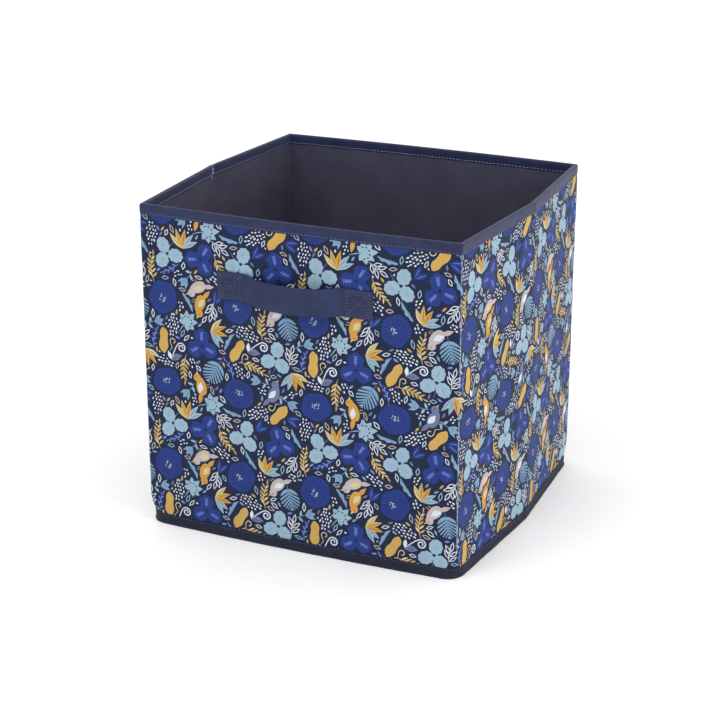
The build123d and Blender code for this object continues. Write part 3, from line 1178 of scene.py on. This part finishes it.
def row_dashes(body, z, d, outside):
    """A row of dashes along a panel at one height, on its outer or its inner face."""
    _, t0, t1, half = PANELS[body]
    middle = np.arange(t0 + 2.4, t1 - 2.2, PITCH)
    middle += (t1 + t0) / 2 - (middle[0] + middle[-1]) / 2
    z = z + 0.12 * np.sin(middle / 5.1)
    a, b = (turned(taped(middle + e * DASH / 2, z + e * 0.12, d), half) for e in (-1, 1))
    beyond = turned(taped(middle, z, d + (-1.0 if outside else 1.0)), half)
    return list(zip(a, b, beyond - (a + b) / 2))


def wall_stitches():
    for body, (title, _, _, _) in PANELS.items():
        rim, foot, reach = RIM_LOW + 1.5, BINDING_HIGH - 1.4, 0.6
        for part, z, d, outside, thread in (
            ("rim_stitches_outside", rim, -reach, True, PLUM_THREAD),
            ("rim_stitches_inside", rim, WALL + reach, False, PALE_THREAD),
            ("base_stitches", foot, -reach, True, DARK_THREAD),
        ):
            stitches(f"{title}_{part}", body, row_dashes(body, z, d, outside), thread)


def crease_tacks():
    """Bar tacks at both creases, with loose ends of thread at the left one."""
    for body, half in (("left_front", False), ("right_rear", True)):
        dashes = []
        for i in range(4):
            t, d = -(CREASE_T - 2.2 - 1.1 * i), WALL + 0.72
            for z0, z1 in ((311.2, 314.2), (314.6, 317.6)):
                ends = ((z0, 0), (z1, 0), ((z0 + z1) / 2, 1))
                a, b, c = (turned(ring(t, z, d + e), half) for z, e in ends)
                dashes.append((a, b, c - (a + b) / 2))
        if body == "left_front":
            for (t0, z0, d0), (t1, z1, d1) in (
                ((-310.6, 318.6, 4.0), (-311.6, 321.4, 3.4)),
                ((-307.5, 311.2, 4.5), (-306.4, 306.6, 5.4)),
                ((-309.4, 318.8, 1.2), (-308.0, 321.2, 0.2)),
            ):
                a, b = ring(t0, z0, d0), ring(t1, z1, d1)
                dashes.append((a, b, ring(t0, z0, d0 + 1) - a))
        stitches(f"{body}_crease_tacks", body, dashes, PALE_THREAD)


wall_stitches()
crease_tacks()

# ---------------------------------------------------------------- handle

STRAP_THICK, STRAP_WIDE, STRAP_Z = 1.6, 27.0, 254.0
STRAP_HALF, STRAP_REACH, STAND_OFF = 78.0, 47.0, 14.0
STRAP_FACE = -0.9  # depth of its inner face where it is sewn on
ARC = (STRAP_REACH**2 + STAND_OFF**2) / (2 * STAND_OFF)


def strap_line():
    """The strap's middle line in plan: sewn flat at both ends, and bowed out between them."""
    x = np.linspace(-STRAP_HALF, STRAP_HALF, 521)
    flat = bow_y(x, STRAP_FACE - STRAP_THICK / 2)
    foot = float(bow_y(STRAP_REACH, STRAP_FACE - STRAP_THICK / 2))
    arc = foot - STAND_OFF + ARC - np.sqrt(np.maximum(ARC**2 - x**2, 0))
    y = np.where(np.abs(x) < STRAP_REACH, arc, flat)
    step = x[1] - x[0]
    reach = np.arange(-30, 31) * step
    weight = np.exp(-((reach / 2.4) ** 2) / 2)
    y = np.convolve(np.pad(y, 30, mode="edge"), weight / weight.sum(), mode="valid")
    return beside(x, y)[::4]


def strap_section():
    """The strap in section as (across, out), with rounded edges."""
    half, thick = STRAP_WIDE / 2, STRAP_THICK / 2
    turns = np.linspace(-pi / 2, pi / 2, 7)
    edge = [(half - thick * (1 - cos(a)), thick * sin(a)) for a in turns]
    top = edge + [(w, thick) for w in np.linspace(half - thick, -half + thick, 14)[1:-1]]
    return np.array(top + [(-w, -o) for w, o in top])


def handle():
    line, section = strap_line(), strap_section()
    out, run = -to_left(line), run_of(line)
    free = smooth(np.abs(line[:, 0]), STRAP_REACH + 2, STRAP_REACH - 14)
    rings, uv = [], []
    for (x, y), (ox, oy), s, f in zip(line, out, run, free):
        across, rise = section[:, 0], section[:, 1]
        end = min(1.0, (0.25 + min(s, run[-1] - s)) / 0.9)
        crown = 0.7 * (1 - (2 * across / STRAP_WIDE) ** 2) + 0.16 * sin(s / 5.1)
        rise = rise * (0.55 + 0.45 * end) + f * crown
        high = STRAP_Z + across * (1 - 0.03 * f) - 1.2 * f + 0.15 * sin(s / 9)
        rings.append(np.stack([x + ox * rise, y + oy * rise, high], 1))
        uv.append(beside(np.full(len(section), s), across + 0.8 * rise))
    faces = tube_faces(len(rings), len(section), inside_out=True)
    obj = make("handle_strap", np.concatenate(rings), faces, STRAP, np.concatenate(uv), sharp=60)
    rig.blend(obj, "front_wall", "handle", (0, -0.1600, STRAP_Z / 1000), (0, -0.1665, STRAP_Z / 1000))
    parts = ("left_end", "right_end", "left_bend", "right_bend", "loop")
    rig.replaces(obj, *[f"handle_{part}" for part in parts])
    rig.slot(obj, "handle_strap")
    sewn = [
        stitches(f"handle_{title}_stitches", "front_wall", patch_stitches(side), PATCH_THREAD, "handle_strap")
        for title, side in (("left", -1), ("right", 1))
    ]
    flat = (float(run[-1]) / 1000, STRAP_WIDE / 1000)
    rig.sheet(obj, flat, "stretched", ["front_printed_fabric"], with_pieces=sewn)


def patch_stitches(side):
    """The box, cross and double rows that sew one end of the strap down."""
    x0, x1 = STRAP_REACH + 5.0, STRAP_HALF - 2.2
    z0, z1 = STRAP_Z - STRAP_WIDE / 2 + 2.4, STRAP_Z + STRAP_WIDE / 2 - 2.4
    lines = [((x, z0), (x, z1)) for x in (x0, x0 + 2.2, x1 - 2.2, x1)]
    lines += [((x0, z), (x1, z)) for z in (z0, z1, z0 + 2.4, z1 - 2.4)]
    lines += [((x0, z0), (x1, z1)), ((x0, z1), (x1, z0)), ((x0, (z0 + z1) / 2), (x1, (z0 + z1) / 2))]
    dashes = []
    for (xa, za), (xb, zb) in lines:
        length = hypot(xb - xa, zb - za)
        count = int(length / 2.9)
        for i in range(count):
            ends = []
            for f in ((i + 0.18) / count, (i + 0.82) / count):
                x, z = xa + (xb - xa) * f, za + (zb - za) * f
                ends.append((side * x, float(bow_y(x, STRAP_FACE - STRAP_THICK - 0.06)), z))
            dashes.append((*ends, (0, -1, 0)))
    return dashes


handle()

# ---------------------------------------------------------------- base


def wall_outline(d):
    """The walls' inner outline near the floor at depth d, all the way round."""
    t = np.linspace(-CREASE_T, CREASE_T, 241)[:-1]
    t = np.unique([*t, *[s * (CORNER_T + e) for s in (-1, 1) for e in np.linspace(-22, 22, 23)]])
    front = ring(t, 2.0, d, FOOT_RADIUS - d)
    return np.concatenate([front, turned(front, True)])[:, :2]


def rounded_outline(half_x, half_y, radius):
    """A rectangle with rounded corners, from the middle of its front anticlockwise."""
    quarter = np.linspace(0, pi / 2, 11)
    corners = []
    for k, (sx, sy) in enumerate(((1, -1), (1, 1), (-1, 1), (-1, -1))):
        a = quarter + (k - 1) * pi / 2
        middle = np.array([sx * (half_x - radius), sy * (half_y - radius)])
        corners.append(middle + radius * beside(np.cos(a), np.sin(a)))
    turning = np.concatenate(corners)
    ahead = np.roll(turning, -1, 0)
    gaps = np.maximum(1, np.round(np.linalg.norm(ahead - turning, axis=1) / 9)).astype(int)
    return np.concatenate([a + (b - a) * np.arange(n)[:, None] / n for a, b, n in zip(turning, ahead, gaps)])


def plate(name, rim, section, material, flutter=0.0):
    """A closed plate. Its section is (inset, z), from the top's middle round to the underside."""
    half = np.abs(rim).max(0)
    rings = []
    for inset, z in section:
        xy = rim * (1 - inset / half)
        free = min(1.0, inset / 30)
        lift = flutter * free * (np.sin(xy[:, 0] / 41) * np.cos(xy[:, 1] / 37) + 0.4 * np.sin(xy[:, 0] / 17))
        rings.append(np.column_stack([xy, z + lift]))
    points = np.concatenate(rings)
    return make(name, points, tube_faces(len(rings), len(rim), inside_out=True), material, points[:, :2])


INSETS = (144, 110, 75, 45, 22, 8)  # rings of a plate, from its middle outwards


def base():
    rim = wall_outline(WALL + 0.45)
    edge = [(2, 0.56), (0.4, 0.5), (0.0, 0.3), (0.4, 0.1), (2, 0.04)]
    section = [(i, 0.56) for i in INSETS] + edge + [(i, 0.04) for i in INSETS[::-1]]
    cloth = plate("base_underside_fabric", rim, section, UNDER)
    placed(cloth, "back_wall", "base_fabric", "base_fabric")
    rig.squash(cloth, "fold", (0, 1, 0), (0, HALF_DEPTH / 1000, 0), keep=0.11)
    size = np.ptp(rim, axis=0) / 1000
    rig.sheet(cloth, tuple(map(float, size)), "stretched", ["back_base_tape", "front_base_tape"])

    low, high = (np.array(c) * 1000 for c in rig.box("base_board_cover"))
    rim = rounded_outline(high[0] + 0.3, high[1] + 0.3, 20.6)
    z0, z1 = low[2], high[2]
    edge = [(1.2, z1 + 0.06), (0.35, z1 - 0.25), (0, (z0 + z1) / 2), (0.35, z0 + 0.25), (1.2, z0 + 0.02)]
    section = [(i, z1 + 0.1 + 0.12 * min(1, i / 60)) for i in INSETS] + edge + [(i, z0) for i in INSETS[::-1]]
    cover = plate("base_board_envelope", rim, section, LINED, flutter=0.1)
    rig.padded(placed(cover, "base_board", "lining", "base_board_cover"), 1.0)


base()

# ---------------------------------------------------------------- carried CAD nodes

for name, node in frame["nodes"].items():
    if name.endswith("_board") or name == "base_board_core":
        node.data.materials.clear()
        node.data.materials.append(BOARD)

# ---------------------------------------------------------------- studio

FLOOR_HALF = 6000


def floor_sheet():
    n = Nodes("studio_floor", 0.9, 0.0, 0.1)
    tone = n.mix(n.fit(n.noise(n.place(), 6, 2), 0.3, 0.7), (0.93, 0.93, 0.93), (0.95, 0.95, 0.95))
    n.give(n.shader, {"Base Color": tone, "Emission Color": (1, 1, 1), "Emission Strength": 0.09})
    corners = [(x * FLOOR_HALF, y * FLOOR_HALF, 0) for x, y in ((-1, -1), (1, -1), (1, 1), (-1, 1))]
    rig.stage(make("studio_floor", corners, [(0, 1, 2, 3)], n.material))


def aimed(name, data, place, ahead):
    """An object in the scene at a place in metres, that looks ahead."""
    obj = bpy.data.objects.new(name, data)
    obj.location = place
    obj.rotation_euler = ahead.to_track_quat("-Z", "Y").to_euler()
    return linked(obj)


def area_light(name, place, size, power):
    """A round light that points at the middle of the bin."""
    data = bpy.data.lights.new(name, "AREA")
    data.shape, data.size, data.energy = "DISK", size, power
    aimed(name, data, place, Vector((0, 0, 0.15)) - Vector(place))


def world(strength):
    sky = bpy.data.worlds.new("studio")
    sky.use_nodes = True
    background = sky.node_tree.nodes["Background"]
    background.inputs["Color"].default_value = (1, 1, 1, 1)
    background.inputs["Strength"].default_value = strength
    bpy.context.scene.world = sky


def camera(azimuth, elevation, place, lens):
    data = bpy.data.cameras.new("camera")
    data.sensor_width, data.lens = 36.0, lens
    az, el = radians(azimuth), radians(elevation)
    ahead = Vector((-sin(az) * cos(el), cos(az) * cos(el), -sin(el)))
    bpy.context.scene.camera = aimed("camera", data, place, ahead)


floor_sheet()
area_light("key", (2.8, -0.7, 0.42), 1.2, 31)
area_light("front", (-0.7, -2.2, 2.6), 1.6, 18)
world(1.06)
camera(24.55, 19.89, (0.742, -1.640, 0.791), 96.9)
bpy.context.scene.view_settings.view_transform = "Standard"

with open("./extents.json", "w") as out:
    json.dump({"cad": [list(c) for c in cad_box], "visual": [list(c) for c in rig.bounds()]}, out)
